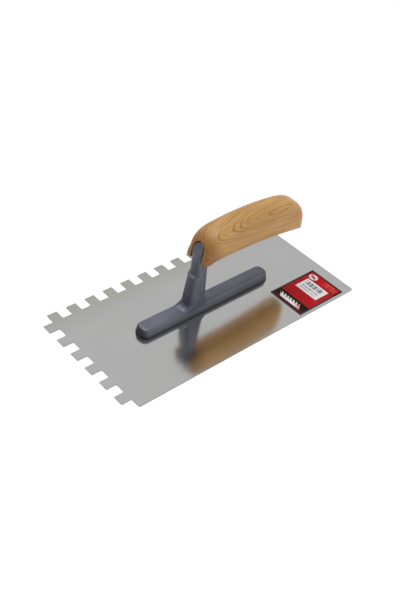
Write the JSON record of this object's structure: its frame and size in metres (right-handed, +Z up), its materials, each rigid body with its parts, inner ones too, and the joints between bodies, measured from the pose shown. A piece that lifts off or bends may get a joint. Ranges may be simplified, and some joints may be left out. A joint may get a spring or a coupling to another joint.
{
  "type": "notched trowel",
  "caption": "Thin steel blade with square notches on one long and one short side, cast metal bridge riveted along its middle, and an open wooden handle on the bridge's tang.",
  "frame": {"origin": "centre of the blade's underside, on the surface that the trowel rests on", "axes": "+X along the blade towards the handle's free end and the plain short edge, +Y towards the notched long edge, +Z up"},
  "size_m": [0.27, 0.13, 0.0914],
  "materials": {
    "blade_steel": "satin, rolled and lightly polished",
    "bridge_casting": "cast, tumbled to a dull grey satin",
    "handle_wood": "beech, sanded and thinly varnished",
    "rivet_metal": "turned, ground flush with the blade",
    "label_card": "printed, semi-gloss",
    "code_label_paper": "printed, matt"
  },
  "bodies": {
    "root": {"blade": "blade_steel", "bridge": "bridge_casting", "handle": "handle_wood", "rivet_1": "rivet_metal", "rivet_2": "rivet_metal", "rivet_3": "rivet_metal", "rivet_4": "rivet_metal", "rivet_5": "rivet_metal", "rivet_6": "rivet_metal", "rivet_7": "rivet_metal", "rivet_8": "rivet_metal", "label": "label_card", "code_label": "code_label_paper"}
  },
  "joints": []
}
